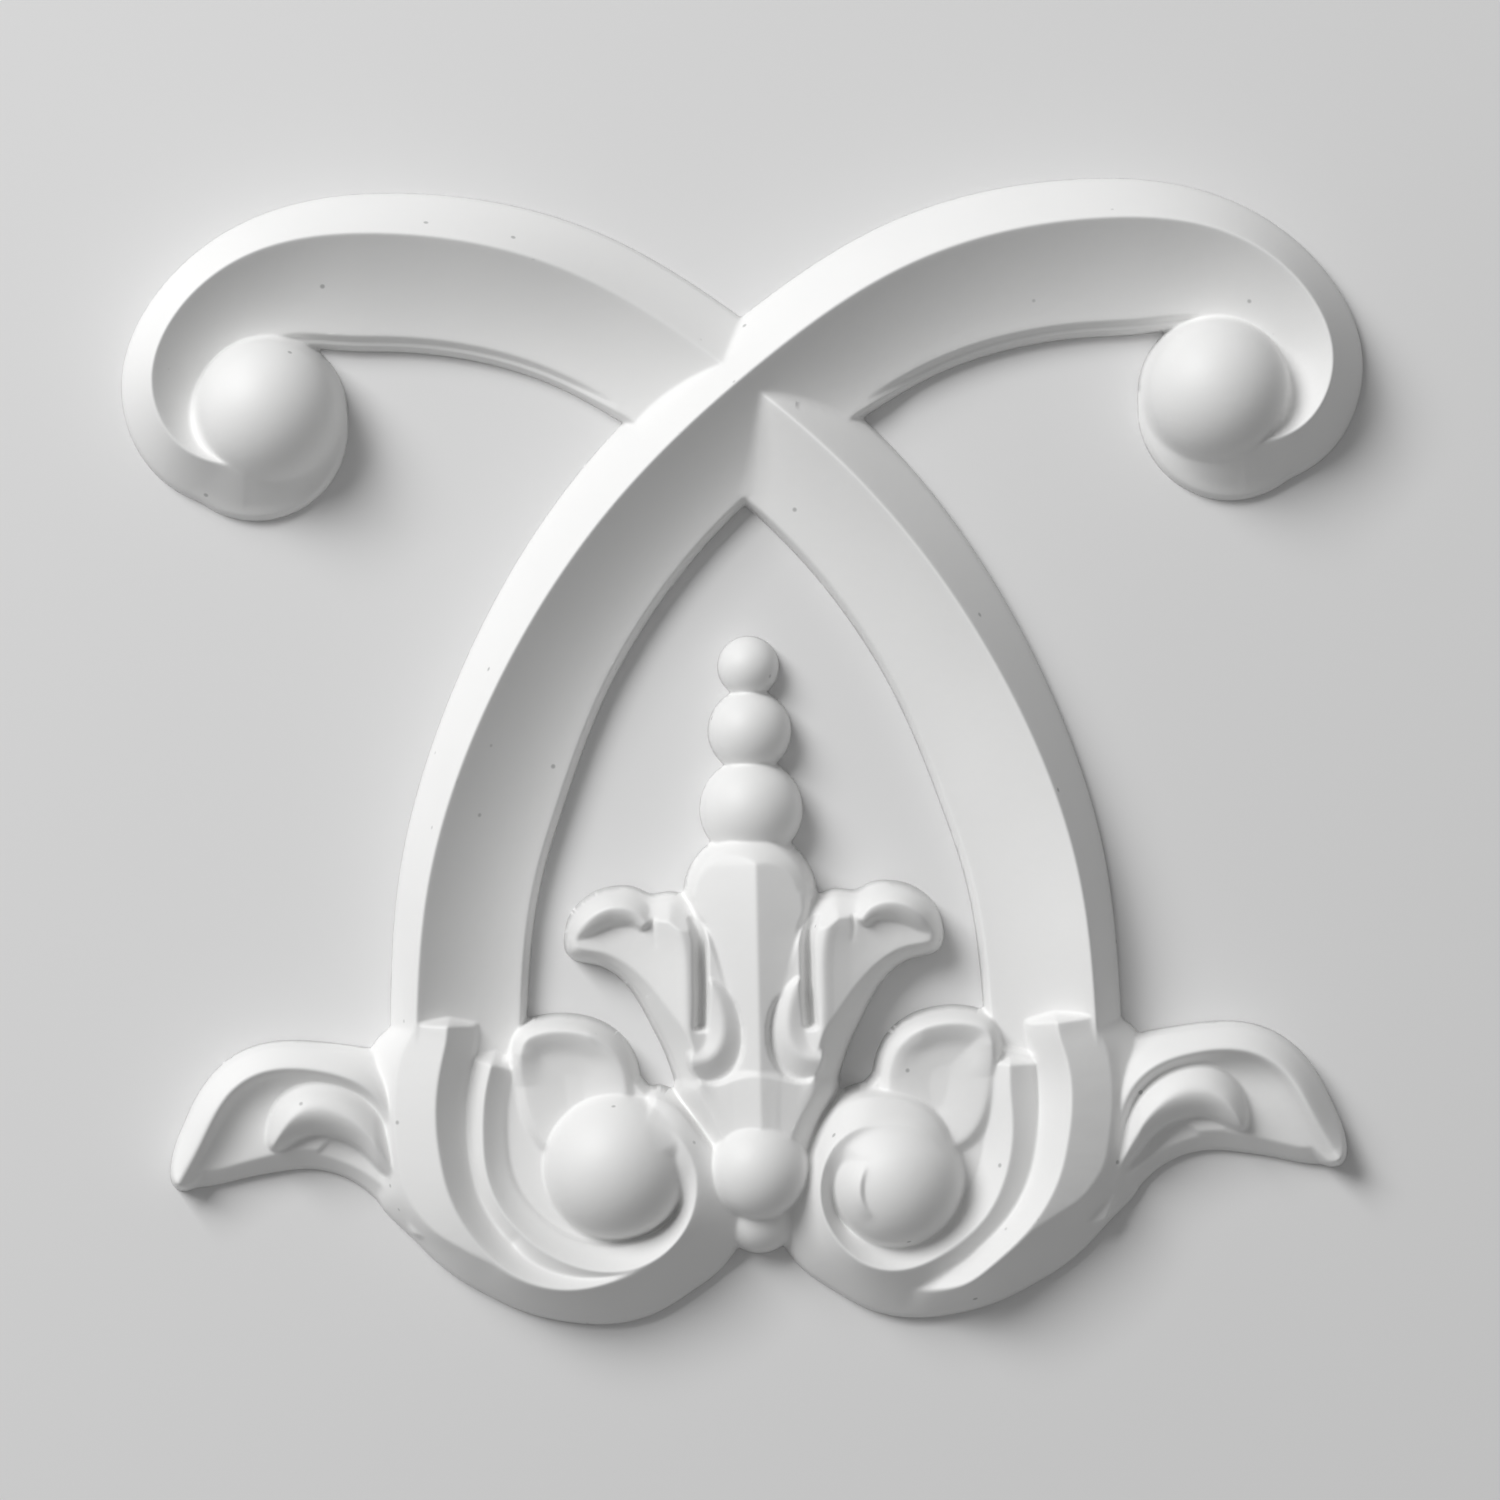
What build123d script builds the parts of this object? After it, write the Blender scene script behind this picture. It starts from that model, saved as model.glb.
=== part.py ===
from build123d import *
import os

# A crown-shaped moulding ornament, cast in one piece in plaster, lying on its flat back.
# Millimetres. X runs across the face, Y up the face, Z out of the wall.
# The origin is on the back, on the ornament's line of symmetry at half its height.

# How far each form runs below the back before the whole casting is trimmed flat there
trim_stock = 2.0

# Ridge line of one strap, from its foot at the left volute to its scroll at the upper right
strap_ridge_line = [
    (-39.2, -47.0),
    (-40.8, -33.0),
    (-39.3, -16.5),
    (-31.3, 6.5),
    (-16.1, 29.5),
    (2.5, 46.7),
    (20.0, 57.8),
    (43.0, 63.0),
    (60.4, 60.1),
    (68.7, 52.6),
    (70.9, 45.3),
    (67.6, 38.0),
    (59.6, 35.1),
]
# Strap section: a narrow bevel outside the ridge, a wider hollow cove inside it
strap_lip = 1.4
strap_ridge_height = 9.4
cove_edge_height = 3.0
cove_hollow = 1.5
bevel_width_foot = 4.3
bevel_width_arch = 6.1
bevel_width_arm = 5.5
bevel_width_scroll = 4.3
cove_width_foot = 12.6
cove_width_arch = 10.8
cove_width_arm = 13.4
cove_width_scroll = 7.5
# The strap that passes under is this much lower where the other one crosses it
underpass_drop = 3.6

# Scroll at the end of each strap
scroll_centre = (57.4, 42.2)
scroll_ball_radius = 8.7
scroll_ball_top = 12.6
scroll_disc_centre = (59.1, 40.2)
scroll_disc_radius = 11.2
scroll_disc_height = 4.6
scroll_disc_slope = 3.2

# Outer band, which goes on down from each strap and tapers out under the volute
outer_band_line = [
    (36.5, -32.9),
    (36.7, -34.6),
    (37.5, -38.4),
    (37.9, -43.0),
    (37.5, -48.1),
    (36.4, -52.8),
    (34.2, -56.8),
    (31.0, -60.4),
    (27.6, -63.0),
    (23.8, -64.3),
    (20.0, -64.6),
]
outer_band_height = 9.3
outer_band_edge = 4.8
outer_band_shoulder_drop = 0.9

# Volute at the foot of each strap: a band inside the outer one becomes the rim round its ball
volute_ball_centre = (16.8, -51.2)
volute_ball_radius = 8.5
volute_ball_top = 12.5
volute_rim_line = [
    (31.2, -37.4),
    (31.8, -42.0),
    (31.8, -47.0),
    (30.8, -51.5),
    (28.6, -55.4),
    (25.4, -58.8),
    (21.2, -61.4),
    (17.0, -62.5),
    (13.2, -61.9),
    (10.0, -59.8),
    (8.2, -56.6),
    (7.5, -52.8),
    (7.8, -49.4),
    (9.2, -46.8),
    (11.8, -45.2),
    (15.0, -44.8),
    (18.4, -45.4),
    (21.4, -47.2),
]
volute_rim_height = 8.8
volute_rim_lip = 1.6
volute_rim_edge = 4.8

# Low ground that joins the bands, the leaf and the ball of a volute
volute_ground_outline = [
    (34.4, -38.2),
    (36.0, -46.0),
    (33.0, -55.0),
    (25.0, -61.4),
    (13.0, -60.6),
    (8.8, -55.0),
    (10.0, -46.0),
    (20.0, -38.0),
]
volute_ground_height = 4.4

# Dished leaf between the rim and the volute ball
dish_outline = [
    (30.4, -38.4),
    (29.6, -34.0),
    (26.4, -32.0),
    (22.4, -31.8),
    (18.0, -33.2),
    (15.0, -36.4),
    (14.0, -46.0),
]
dish_foot = [(18.0, -56.0), (26.0, -57.0)]
dish_height = 6.4
dish_depth = 1.8
dish_width = 12.0
dish_middle = (22.6, -42.0)
dish_tilt = 6.0

# Beads on the line of symmetry: height up the face, radius, top
bead_chain = [(10.1, 3.5, 4.8), (2.3, 4.8, 6.3), (-7.2, 5.9, 7.8)]
centre_ball_place = (0, -50.5)
centre_ball_radius = 5.9
centre_ball_top = 11.5
pedestal_place = (0, -56.2)
pedestal_radius = 4.6
pedestal_top = 6.0

# Tulip: height up the face and half width of the middle petal
petal_stations = [
    (-49.0, 3.2),
    (-44.0, 3.2),
    (-38.0, 3.2),
    (-33.0, 4.4),
    (-27.0, 5.9),
    (-21.0, 6.3),
    (-18.6, 7.3),
    (-15.0, 7.0),
    (-12.2, 5.0),
    (-10.6, 1.6),
]
petal_ridge_height = 9.2
petal_rim_height = 8.0
petal_hollow = 0.5

# Slot between the middle petal and each side petal
petal_slot_middle = (6.4, -27.2)
petal_slot_length = 14.0
petal_slot_width = 1.3
petal_slot_floor = 5.6

# Side petal: outer edge point, inner edge point, outer height, crest height, inner height
side_petal_crest = 0.45
side_petal_stations = [
    ((5.6, -46.8), (1.4, -46.6), 5.0, 7.8, 7.8),
    ((7.9, -41.6), (1.6, -41.0), 5.0, 7.8, 7.6),
    ((10.2, -35.4), (2.6, -34.4), 5.0, 8.0, 7.6),
    ((12.8, -30.0), (5.0, -27.4), 5.0, 8.2, 7.8),
    ((15.8, -26.0), (5.8, -21.6), 5.0, 8.2, 8.0),
    ((19.0, -24.6), (10.6, -17.8), 4.6, 8.0, 7.2),
    ((21.4, -23.8), (16.2, -16.9), 4.2, 7.2, 6.0),
    ((22.4, -23.0), (20.4, -19.4), 3.6, 5.2, 4.6),
]

# Sprig beside each volute: upper edge point, lower edge point, upper height, crest height, lower height
sprig_outer_crest = 0.84
sprig_outer_stations = [
    ((41.0, -38.0), (38.4, -60.6), 5.4, 7.0, 2.0),
    ((45.0, -36.6), (43.4, -56.8), 5.2, 7.0, 2.0),
    ((48.6, -35.6), (47.8, -52.2), 5.0, 7.0, 2.0),
    ((53.0, -35.0), (53.0, -49.8), 4.8, 6.9, 2.0),
    ((58.4, -34.8), (57.4, -49.8), 4.6, 6.8, 1.8),
    ((63.8, -36.8), (61.8, -50.4), 4.4, 6.6, 1.6),
    ((68.0, -41.8), (65.4, -51.1), 4.0, 6.0, 1.6),
    ((70.0, -46.6), (68.4, -51.3), 3.4, 5.0, 1.6),
    ((70.8, -49.6), (70.3, -50.8), 2.6, 3.2, 1.6),
]
sprig_inner_crest = 0.5
sprig_inner_stations = [
    ((40.6, -44.0), (41.2, -55.2), 5.0, 6.6, 3.0),
    ((45.4, -42.8), (44.8, -50.8), 5.4, 7.4, 3.4),
    ((49.6, -39.8), (49.4, -46.3), 5.4, 7.9, 4.4),
    ((54.6, -39.3), (53.6, -45.4), 5.4, 7.6, 4.6),
    ((58.4, -43.2), (57.4, -46.3), 5.2, 6.0, 4.6),
]


def blend_values(stops, place):
    """Value at a place on a smooth curve that passes through each (place, value) stop."""
    slopes = []
    for index in range(len(stops)):
        before = stops[max(index - 1, 0)]
        after = stops[min(index + 1, len(stops) - 1)]
        slopes.append((after[1] - before[1]) / (after[0] - before[0]))
    for index, (start, end) in enumerate(zip(stops, stops[1:])):
        if place <= end[0]:
            span = end[0] - start[0]
            part_way = (place - start[0]) / span
            rise = end[1] - start[1]
            lead_in = slopes[index] * span - rise
            lead_out = rise - slopes[index + 1] * span
            bow = (1 - part_way) * lead_in + part_way * lead_out
            return start[1] + rise * part_way + part_way * (1 - part_way) * bow
    return stops[-1][1]


def band_section(plane, outer, inner, lip, ridge, edge, hollow, shoulder):
    """Bevel on the +x side of the ridge, after its shoulder if it has one; hollow cove on the other."""
    corners = [(-inner, edge), (-inner, -trim_stock), (outer, -trim_stock), (outer, lip)]
    if shoulder:
        corners.append((shoulder, ridge - outer_band_shoulder_drop))
    with BuildSketch(plane) as section:
        with BuildLine():
            Polyline(*corners, (0, ridge))
            ThreePointArc((0, ridge), (-inner / 2, (ridge + edge) / 2 - hollow), (-inner, edge))
        make_face()
    return section.sketch


def band(line_points, count, widths, heights, edge_height, hollow, shoulders=None):
    """Loft of band sections set square to a spline, closer together towards its end.

    The outer and inner widths, the lip and ridge heights and the shoulder widths are stops along it.
    """
    outer_stops, inner_stops = widths
    lip_stops, ridge_stops = heights
    spine = Spline(*line_points)
    sections = []
    for step in range(count + 1):
        place = step / count * (1.35 - 0.35 * step / count)
        along = spine % place
        across = Vector(-along.Y, along.X, 0)
        plane = Plane(origin=spine @ place, x_dir=across, z_dir=across.cross(Vector(0, 0, 1)))
        outer = blend_values(outer_stops, place)
        inner = blend_values(inner_stops, place)
        lip = blend_values(lip_stops, place)
        ridge = blend_values(ridge_stops, place)
        edge = min(edge_height, ridge * 0.6)
        shoulder = blend_values(shoulders, place) if shoulders else 0
        sections.append(band_section(plane, outer, inner, lip, ridge, edge, hollow, shoulder))
    with BuildPart() as piece:
        loft(sections=sections, ruled=True)
    return piece.part


def leaf(stations, crest_share):
    """Loft of upright sections, each between an outer and an inner edge point of the outline.

    Its crest lies at that share of the way out from the inner edge.
    """
    sections = []
    for outer_point, inner_point, outer_height, crest_height, inner_height in stations:
        start = Vector(*inner_point)
        across = Vector(*outer_point) - start
        width = across.length
        plane = Plane(origin=start, x_dir=across, z_dir=across.cross(Vector(0, 0, 1)))
        with BuildSketch(plane) as section:
            with BuildLine():
                Polyline(
                    (0, inner_height),
                    (0, -trim_stock),
                    (width, -trim_stock),
                    (width, outer_height),
                    (width * crest_share, crest_height),
                    close=True,
                )
            make_face()
        sections.append(section.sketch)
    with BuildPart() as piece:
        loft(sections=sections, ruled=True)
    return piece.part


def ball(centre, radius, top):
    """Ball with straight sides below its widest place, so that it leaves the mould."""
    equator = top - radius
    with BuildPart() as piece:
        with BuildSketch(Plane.XZ.offset(-centre[1])):
            with BuildLine():
                Polyline((centre[0], top), (centre[0], -trim_stock), (centre[0] + radius, -trim_stock))
                if equator > 0:
                    Line((centre[0] + radius, -trim_stock), (centre[0] + radius, equator))
                    CenterArc((centre[0], equator), radius, 0, 90)
                else:
                    Line((centre[0] + radius, -trim_stock), (centre[0] + radius, 0))
                    EllipticalCenterArc((centre[0], 0), radius, top, 0, 90)
            make_face()
        revolve(axis=Axis((centre[0], centre[1], 0), (0, 0, 1)))
    return piece.part


# Strap: its widths and heights along the ridge line, from foot to scroll
strap_bevel = [
    (0, bevel_width_foot),
    (0.2, bevel_width_foot),
    (0.45, bevel_width_arch),
    (0.6, bevel_width_arch),
    (0.75, bevel_width_arm),
    (0.87, bevel_width_scroll),
    (1, bevel_width_arm),
]
strap_cove = [
    (0, cove_width_foot - 2.0),
    (0.08, cove_width_foot),
    (0.2, cove_width_foot),
    (0.32, cove_width_arch + 0.5),
    (0.44, cove_width_arch),
    (0.6, cove_width_arm - 0.8),
    (0.75, cove_width_arm),
    (0.83, cove_width_arm - 2.4),
    (0.91, cove_width_scroll),
    (1, cove_width_scroll - 3.5),
]
strap_lips = [(0, strap_lip), (1, strap_lip)]
over_ridge = [
    (0, strap_ridge_height - 3.9),
    (0.1, strap_ridge_height - 0.6),
    (0.5, strap_ridge_height + 0.6),
    (0.8, strap_ridge_height),
    (0.92, strap_ridge_height - 0.6),
    (1, strap_ridge_height - 2.2),
]
under_ridge = [
    (0, strap_ridge_height - 3.9),
    (0.1, strap_ridge_height - 0.6),
    (0.4, strap_ridge_height),
    (0.48, strap_ridge_height - underpass_drop / 3),
    (0.53, strap_ridge_height - underpass_drop),
    (0.58, strap_ridge_height - underpass_drop + 0.4),
    (0.68, strap_ridge_height - 0.8),
    (0.8, strap_ridge_height),
    (0.92, strap_ridge_height - 0.6),
    (1, strap_ridge_height - 2.2),
]
strap_widths = (strap_bevel, strap_cove)
over_heights = (strap_lips, over_ridge)
under_heights = (strap_lips, under_ridge)
over_strap = band(strap_ridge_line, 32, strap_widths, over_heights, cove_edge_height, cove_hollow)
under_strap = band(strap_ridge_line, 32, strap_widths, under_heights, cove_edge_height, cove_hollow)

# Outer band under the strap's foot
outer_band_outer = [(0, 7.8), (0.25, 8.4), (0.48, 8.8), (0.6, 7.2), (0.71, 5.4), (0.85, 4.7), (1, 4.6)]
outer_band_inner = [(0, 3.4), (0.4, 3.4), (0.7, 2.6), (1, 1.6)]
outer_band_shoulder = [(0, 4.6), (0.25, 4.6), (0.48, 3.2), (0.6, 1.8), (1, 0.9)]
outer_band_ridge = [(0, outer_band_height), (0.4, outer_band_height), (1, outer_band_height - 0.9)]
outer_band = band(
    outer_band_line,
    12,
    (outer_band_outer, outer_band_inner),
    ([(0, volute_rim_lip), (1, volute_rim_lip)], outer_band_ridge),
    outer_band_edge,
    0.2,
    shoulders=outer_band_shoulder,
)

# Rim of the volute
rim_outer = [
    (0, 3.0),
    (0.28, 3.2),
    (0.36, 5.0),
    (0.42, 7.4),
    (0.5, 6.7),
    (0.6, 6.0),
    (0.66, 4.2),
    (0.72, 3.0),
    (0.8, 3.0),
    (0.9, 3.6),
    (1, 2.2),
]
rim_inner = [(0, 2.8), (0.4, 2.8), (0.6, 2.0), (0.72, 1.4), (0.8, 2.4), (1, 2.8)]
rim_lips = [
    (0, volute_ground_height),
    (0.36, volute_ground_height),
    (0.48, volute_rim_lip),
    (0.72, volute_rim_lip),
    (0.84, volute_rim_lip + 2.4),
    (1, volute_rim_lip + 3.2),
]
rim_ridge = [
    (0, volute_rim_height - 1.9),
    (0.3, volute_rim_height - 1.4),
    (0.5, volute_rim_height - 0.5),
    (0.65, volute_rim_height + 0.2),
    (0.8, volute_rim_height + 0.7),
    (1, volute_rim_height),
]
volute_rim = band(volute_rim_line, 26, (rim_outer, rim_inner), (rim_lips, rim_ridge), volute_rim_edge, 0.2)

with BuildPart() as dished_leaf:
    with BuildSketch(Plane.XY.offset(-trim_stock)):
        with BuildLine():
            top_edge = Spline(*dish_outline)
            Polyline(dish_outline[-1], *dish_foot, dish_outline[0])
        make_face()
    extrude(amount=dish_height + trim_stock)
    scoop_radius = ((dish_width / 2) ** 2 + dish_depth**2) / (2 * dish_depth)
    with Locations((*dish_middle, dish_height - dish_depth + scoop_radius)):
        Cylinder(scoop_radius, 3 * dish_width, rotation=(90 - dish_tilt, 0, 0), mode=Mode.SUBTRACT)

with BuildPart() as volute_ground:
    with BuildSketch(Plane.XY.offset(-trim_stock)):
        with BuildLine():
            Spline(*volute_ground_outline, periodic=True)
        make_face()
    extrude(amount=volute_ground_height + trim_stock)

with BuildPart() as scroll_disc:
    with BuildSketch(Plane.XY.offset(-trim_stock)):
        with Locations(scroll_disc_centre):
            Circle(scroll_disc_radius)
    extrude(amount=trim_stock + strap_lip)
    with BuildSketch(Plane.XY.offset(strap_lip)) as disc_foot:
        with Locations(scroll_disc_centre):
            Circle(scroll_disc_radius)
    with BuildSketch(Plane.XY.offset(scroll_disc_height)) as disc_top:
        with Locations(scroll_disc_centre):
            Circle(scroll_disc_radius - scroll_disc_slope)
    loft(sections=[disc_foot.sketch, disc_top.sketch])

# Middle petal of the tulip, a low roof with hollow slopes
petal_sections = []
for petal_y, half_width in petal_stations:
    with BuildSketch(Plane(origin=(0, petal_y, 0), x_dir=(1, 0, 0), z_dir=(0, -1, 0))) as petal_section:
        with BuildLine():
            middle = (petal_ridge_height + petal_rim_height) / 2 - petal_hollow
            Polyline(
                (-half_width, petal_rim_height),
                (-half_width, -trim_stock),
                (half_width, -trim_stock),
                (half_width, petal_rim_height),
            )
            ThreePointArc((half_width, petal_rim_height), (half_width / 2, middle), (0, petal_ridge_height))
            ThreePointArc((0, petal_ridge_height), (-half_width / 2, middle), (-half_width, petal_rim_height))
        make_face()
    petal_sections.append(petal_section.sketch)
with BuildPart() as middle_petal:
    loft(sections=petal_sections, ruled=True)

half_forms = [
    outer_band,
    volute_rim,
    volute_ground.part,
    dished_leaf.part,
    scroll_disc.part,
    ball(scroll_centre, scroll_ball_radius, scroll_ball_top),
    ball(volute_ball_centre, volute_ball_radius, volute_ball_top),
    leaf(side_petal_stations, side_petal_crest),
    leaf(sprig_outer_stations, sprig_outer_crest),
    leaf(sprig_inner_stations, sprig_inner_crest),
]

with BuildPart() as half_casting:
    for form in half_forms:
        add(form)

with BuildPart() as centre_line:
    add(middle_petal.part)
    for bead_y, bead_radius, bead_top in bead_chain:
        add(ball((0, bead_y), bead_radius, bead_top))
    add(ball(pedestal_place, pedestal_radius, pedestal_top))
    add(ball(centre_ball_place, centre_ball_radius, centre_ball_top))

with BuildPart() as crown_casting:
    add(over_strap)
    add(mirror(under_strap, about=Plane.YZ, mode=Mode.PRIVATE))
    add(centre_line.part)
    add(half_casting.part)
    add(mirror(half_casting.part, about=Plane.YZ, mode=Mode.PRIVATE))
    split(bisect_by=Plane.XY, keep=Keep.TOP)
    with BuildSketch(Plane.XY.offset(petal_slot_floor)):
        with Locations(petal_slot_middle, (-petal_slot_middle[0], petal_slot_middle[1])):
            SlotOverall(petal_slot_length, petal_slot_width, rotation=90)
    extrude(amount=petal_ridge_height, mode=Mode.SUBTRACT)

crown_casting.part.label = "crown_casting"
os.makedirs("parts", exist_ok=True)
export_step(crown_casting.part, "parts/crown_casting.step")
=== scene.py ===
import bpy
import numpy as np
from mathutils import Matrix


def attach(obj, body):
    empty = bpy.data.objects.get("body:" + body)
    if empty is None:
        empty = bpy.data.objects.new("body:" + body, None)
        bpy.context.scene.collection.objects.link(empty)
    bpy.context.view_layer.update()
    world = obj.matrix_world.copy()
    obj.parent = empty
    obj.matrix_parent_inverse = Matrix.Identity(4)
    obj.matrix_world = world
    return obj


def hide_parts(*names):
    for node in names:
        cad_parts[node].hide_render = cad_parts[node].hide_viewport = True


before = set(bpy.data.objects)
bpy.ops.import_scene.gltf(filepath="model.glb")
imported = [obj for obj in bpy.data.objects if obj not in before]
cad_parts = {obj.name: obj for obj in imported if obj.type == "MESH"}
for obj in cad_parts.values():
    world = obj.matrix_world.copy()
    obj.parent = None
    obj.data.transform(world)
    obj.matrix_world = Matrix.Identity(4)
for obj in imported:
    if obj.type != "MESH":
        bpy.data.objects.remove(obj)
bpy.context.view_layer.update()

# The two crossed straps: plaster, cast in one with the rest, each a crisp ridge between a
# narrow outer bevel and a wide hollow cove. They rise from the volutes, cross over the arch
# and run out into scrolls. The whole relief is worked out as a height for each place on a grid.
grid_step = 0.14
face_left, face_right, face_low, face_high = -77.0, 77.0, -71.5, 70.5
across_face = np.arange(face_left, face_right, grid_step)
up_face = np.arange(face_low, face_high, grid_step)
grid_x, grid_y = np.meshgrid(across_face, up_face)
open_ground = -6.0
relief = np.full(grid_x.shape, open_ground)
wall_slope = 5.0
far_away = 1e3
least_bevel = 0.3
widest_shoulder_share = 0.7


def curve_through(points, closed=False, spacing=0.3):
    """Natural cubic spline through the points, by the lengths between them, in even steps. A closed
    one goes three times round, and its middle turn is kept, so that it has no corner. The bends at
    the points are solved first. Between two points the curve is the straight mix of both, less what
    the two bends pull it aside, which grows with the cube of the distance from each."""
    turn = len(points)
    knots = np.array(list(points) * 3 if closed else points, float)
    gaps = np.linalg.norm(np.diff(knots, axis=0), axis=1)
    marks = np.concatenate(([0.0], np.cumsum(gaps)))
    count = len(knots)
    system = np.eye(count)
    pull = np.zeros((count, 2))
    inner = np.arange(1, count - 1)
    system[inner, inner - 1] = gaps[:-1]
    system[inner, inner] = 2 * (gaps[:-1] + gaps[1:])
    system[inner, inner + 1] = gaps[1:]
    slopes = np.diff(knots, axis=0) / gaps[:, None]
    pull[inner] = 6 * np.diff(slopes, axis=0)
    bend = np.linalg.solve(system, pull)
    first, last = (marks[turn], marks[2 * turn]) if closed else (0.0, marks[-1])
    place = np.linspace(first, last, int((last - first) / spacing) + 2)
    span = np.clip(np.searchsorted(marks, place) - 1, 0, count - 2)
    gap = gaps[span][:, None]
    after = (place - marks[span])[:, None]
    before = gap - after
    start, end = knots[span], knots[span + 1]
    start_bend, end_bend = bend[span], bend[span + 1]
    curved = (start_bend * before**3 + end_bend * after**3) / (6 * gap)
    return curved + (start / gap - start_bend * gap / 6) * before + (end / gap - end_bend * gap / 6) * after


def eased(stops, place):
    """Value at each place on a smooth curve through the (place, value) stops, level past its ends.
    It is level at each peak and dip, and its slope stays under three times the straight one, so
    that it never runs past a stop. Between two stops it is the straight mix of both, bowed by how
    far the slope at each differs from the straight one."""
    marks, values = np.array(stops, float).T
    straight = np.diff(values) / np.diff(marks)
    same_way = straight[:-1] * straight[1:] > 0
    steepest = 3 * np.minimum(np.abs(straight[:-1]), np.abs(straight[1:])) * same_way
    slopes = np.concatenate((straight[:1], (straight[:-1] + straight[1:]) / 2, straight[-1:]))
    slopes[1:-1] = np.clip(slopes[1:-1], -steepest, steepest)
    span = np.clip(np.searchsorted(marks, place) - 1, 0, len(marks) - 2)
    width = marks[span + 1] - marks[span]
    part_way = np.clip((place - marks[span]) / width, 0, 1)
    rise = values[span + 1] - values[span]
    lead_in = slopes[span] * width - rise
    lead_out = rise - slopes[span + 1] * width
    bow = (1 - part_way) * lead_in + part_way * lead_out
    return values[span] + rise * part_way + part_way * (1 - part_way) * bow


def window(low_x, high_x, low_y, high_y):
    """The part of the grid between these places, as a pair of slices."""
    columns = slice(*np.clip(np.searchsorted(across_face, [low_x, high_x]), 0, len(across_face)))
    rows = slice(*np.clip(np.searchsorted(up_face, [low_y, high_y]), 0, len(up_face)))
    return rows, columns


def around(points, reach):
    """The part of the grid within reach of a set of points."""
    low, high = np.min(points, axis=0) - reach, np.max(points, axis=0) + reach
    return window(low[0], high[0], low[1], high[1])


def beside(line, patch, hand=1, reach=20.0):
    """For each place of a patch: the share of the way along the line, the distance out to its left
    and the distance past its ends. The nearest of the line's short straight pieces decides. Past an
    end, the distance out is measured from the end piece carried straight on."""
    nearest = np.full(grid_x[patch].shape, np.inf)
    along = np.zeros(nearest.shape)
    side = np.full(nearest.shape, far_away)
    past = np.zeros(nearest.shape)
    last = len(line) - 2
    for index in range(last + 1):
        start, step = line[index], line[index + 1] - line[index]
        length = np.hypot(*step)
        rows, columns = around(line[index : index + 2], reach)
        rows = slice(max(rows.start, patch[0].start), min(rows.stop, patch[0].stop))
        columns = slice(max(columns.start, patch[1].start), min(columns.stop, patch[1].stop))
        if rows.start >= rows.stop or columns.start >= columns.stop:
            continue
        near = (
            slice(rows.start - patch[0].start, rows.stop - patch[0].start),
            slice(columns.start - patch[1].start, columns.stop - patch[1].start),
        )
        from_x = grid_x[rows, columns] - start[0]
        from_y = grid_y[rows, columns] - start[1]
        share = (from_x * step[0] + from_y * step[1]) / length**2
        held = np.clip(share, 0, 1)
        distance = (from_x - held * step[0]) ** 2 + (from_y - held * step[1]) ** 2
        closer = distance < nearest[near]
        nearest[near][closer] = distance[closer]
        along[near][closer] = (index + held[closer]) / (last + 1)
        straight_out = (step[0] * from_y - step[1] * from_x) / length
        curved_out = np.sign(straight_out) * np.sqrt(distance)
        beyond = np.zeros(share.shape)
        if index == 0:
            beyond = np.maximum(-share, 0) * length
        if index == last:
            beyond = np.maximum(beyond, np.maximum(share - 1, 0) * length)
        out = np.where(beyond > 0, straight_out, curved_out)
        side[near][closer] = out[closer]
        past[near][closer] = beyond[closer]
    return along, side * hand, past


def lay(patch, height, blend=0.5):
    """Adds a form to the relief: the higher surface wins. Where the two are nearer to each other than
    the blend, it is raised by the square of what is missing over four blends, as a small fillet."""
    below = relief[patch]
    top = np.maximum(below, height)
    meet = np.maximum(blend - np.abs(below - height), 0)
    relief[patch] = np.where(top > -1, top + meet**2 / (4 * blend), top)


def ridged_band(
    line, hand, outer, inner, ridge, lip, edge, shoulder=None, hollow=0.0, end_slope=wall_slope, outline=None
):
    """Ridge along the line. On its outer side it falls to the lip, over a gentle shoulder (width,
    slope) if it has one. On its inner side it falls to the edge, sagging by the hollow. Then both
    sides go steeply to the ground. Each size is a list of stops along the line. An outline (depth,
    share) takes over the outer width by that share, so that the lip lies on the outline."""
    patch = around(line, max(value for _, value in outer + inner) + 3)
    along, side, past = beside(line, patch, hand)
    outer_width, inner_width = eased(outer, along), eased(inner, along)
    if outline:
        depth, taken = outline[0], eased(outline[1], along)
        outer_width = (1 - taken) * outer_width + taken * np.maximum(side + depth[patch], least_bevel)
    ridge_height, lip_height, edge_height = eased(ridge, along), eased(lip, along), eased(edge, along)
    shoulder_width, shoulder_slope = 1e-3, 0.0
    if shoulder:
        shoulder_width = np.minimum(eased(shoulder[0], along), widest_shoulder_share * outer_width)
        shoulder_slope = shoulder[1]
    shoulder_drop = shoulder_slope * shoulder_width
    over_shoulder = np.clip(side / shoulder_width, 0, 1)
    down_bevel = np.clip((side - shoulder_width) / (outer_width - shoulder_width), 0, 1)
    outer_face = ridge_height - shoulder_drop * over_shoulder
    outer_face = outer_face + (lip_height - ridge_height + shoulder_drop) * down_bevel
    share = np.clip(-side / inner_width, 0, 1)
    inner_face = ridge_height + (edge_height - ridge_height) * share - 4 * hollow * share * (1 - share)
    height = np.where(side >= 0, outer_face, inner_face)
    height = height - wall_slope * np.maximum(side - outer_width, 0)
    height = height - wall_slope * np.maximum(-side - inner_width, 0)
    return patch, height - end_slope * past, along, side


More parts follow.
